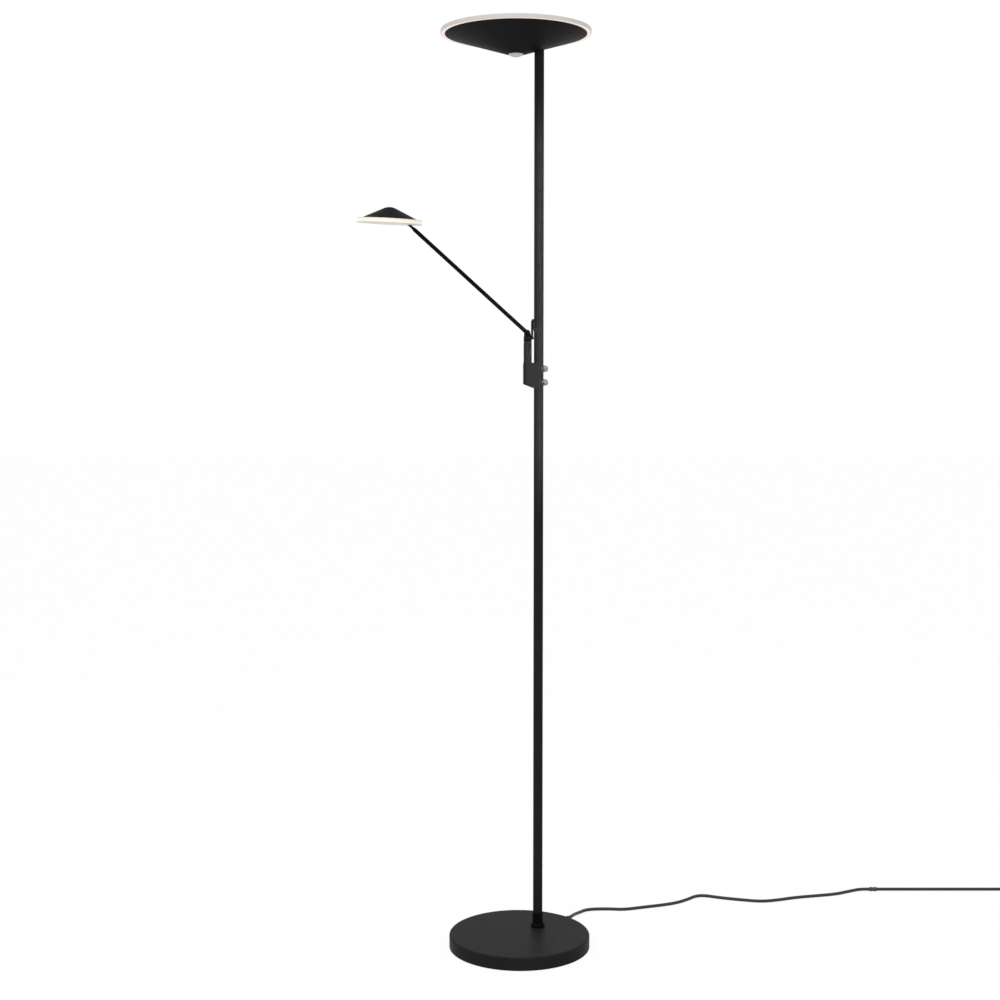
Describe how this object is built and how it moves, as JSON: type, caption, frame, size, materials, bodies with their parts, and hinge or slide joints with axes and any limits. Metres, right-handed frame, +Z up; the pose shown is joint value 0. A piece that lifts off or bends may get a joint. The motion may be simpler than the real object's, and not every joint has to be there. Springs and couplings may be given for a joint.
{
  "type": "reading floor lamp",
  "caption": "Matt black uplighter floor lamp on a slim pole and round weighted base, with a jointed reading arm, disc light heads, dimmer knobs and a mains cord.",
  "frame": {"origin": "middle of the round base's underside, on the floor", "axes": "+Z up the pole, -X along the reading arm at rest, +X along the dimmer knobs, -Y to the front"},
  "size_m": [1.5097, 0.4847, 1.8],
  "materials": {
    "matt_black": "matte",
    "cast_weight": "matte",
    "plain_steel": "satin",
    "heat_plate": "satin",
    "opal": "satin",
    "knob_silver": "satin",
    "knob_black": "satin",
    "black_rubber": "matte",
    "washer_plastic": "matte",
    "cord_sheath": "satin",
    "plug_plastic": "satin",
    "plug_brass": "satin",
    "light_board": "satin",
    "dimmer_plastic": "satin"
  },
  "bodies": {
    "stand": {"arm_lead": "cord_sheath", "base_cover": "matt_black", "base_hub": "plain_steel", "base_weight": "cast_weight", "control_housing": "matt_black", "cord_boot": "black_rubber", "cord_coil": "cord_sheath", "cord_ferrule": "plug_plastic", "cord_tail": "cord_sheath", "cord_tie": "black_rubber", "dimmer_board": "dimmer_plastic", "dimmer_bodies": "dimmer_plastic", "dimmer_nuts": "plain_steel", "foot_collar": "matt_black", "foot_nipple": "plain_steel", "foot_nut": "plain_steel", "foot_pad": "black_rubber", "hatch_screws": "plain_steel", "housing_hatch": "matt_black", "inner_leads": "cord_sheath", "lead_grommet": "black_rubber", "led_driver": "dimmer_plastic", "plug_body": "plug_plastic", "plug_pins": "plug_brass", "pole_coupler": "matt_black", "pole_lower": "matt_black", "pole_middle": "matt_black", "pole_plug": "plain_steel", "pole_upper": "matt_black", "power_cord": "cord_sheath", "shade_cone": "matt_black", "shade_diffuser": "opal", "shade_led_board": "light_board", "shade_lens": "opal", "shade_plate": "heat_plate", "shade_socket": "plain_steel", "socket_screws": "plain_steel", "swivel_screw": "plain_steel", "swivel_washer": "washer_plastic"},
    "upper_dimmer": {"upper_dimmer_shaft": "plain_steel", "upper_knob_skirt": "knob_black", "upper_knob_cap": "knob_silver"},
    "lower_dimmer": {"lower_dimmer_shaft": "plain_steel", "lower_knob_skirt": "knob_black", "lower_knob_cap": "knob_silver"},
    "swivel": {"swivel_knuckle": "matt_black", "arm_pivot": "matt_black", "arm_pivot_nut": "matt_black", "tilt_washers": "washer_plastic"},
    "arm": {"arm_eye": "matt_black", "arm_tube": "matt_black"},
    "tip": {"arm_tip": "matt_black"},
    "head": {"head_shell": "matt_black", "head_diffuser": "opal", "head_plate": "heat_plate", "head_led_board": "light_board", "head_bracket": "plain_steel", "head_pin": "plain_steel", "head_post": "plain_steel", "head_screw": "plain_steel"}
  },
  "joints": [
    {"name": "upper_dimmer_turn", "type": "hinge", "parent": "stand", "child": "upper_dimmer", "pos_m": [0.03748, 0.03748, 1.1514], "axis": [1, 0, 0], "range_deg": [-150, 150]},
    {"name": "lower_dimmer_turn", "type": "hinge", "parent": "stand", "child": "lower_dimmer", "pos_m": [0.03748, 0.03748, 1.1246], "axis": [1, 0, 0], "range_deg": [-150, 150]},
    {"name": "arm_swivel", "type": "hinge", "parent": "stand", "child": "swivel", "pos_m": [0.01573, 0.03748, 1.203], "axis": [0, 0, 1], "range_deg": [-75, 75], "deforming": ["arm_lead"]},
    {"name": "arm_tilt", "type": "hinge", "parent": "swivel", "child": "arm", "pos_m": [0.01473, 0.03748, 1.2217], "axis": [0, 1, 0], "range_deg": [-60, 30]},
    {"name": "head_turn", "type": "hinge", "parent": "arm", "child": "tip", "pos_m": [0.01473, 0.03748, 1.2217], "axis": [-0.7396, 0, 0.673], "range_deg": [-90, 90]},
    {"name": "head_tilt", "type": "hinge", "parent": "tip", "child": "head", "pos_m": [-0.22196, 0.03748, 1.43706], "axis": [0.0505, 0.9972, 0.0555], "range_deg": [-50, 10]}
  ]
}
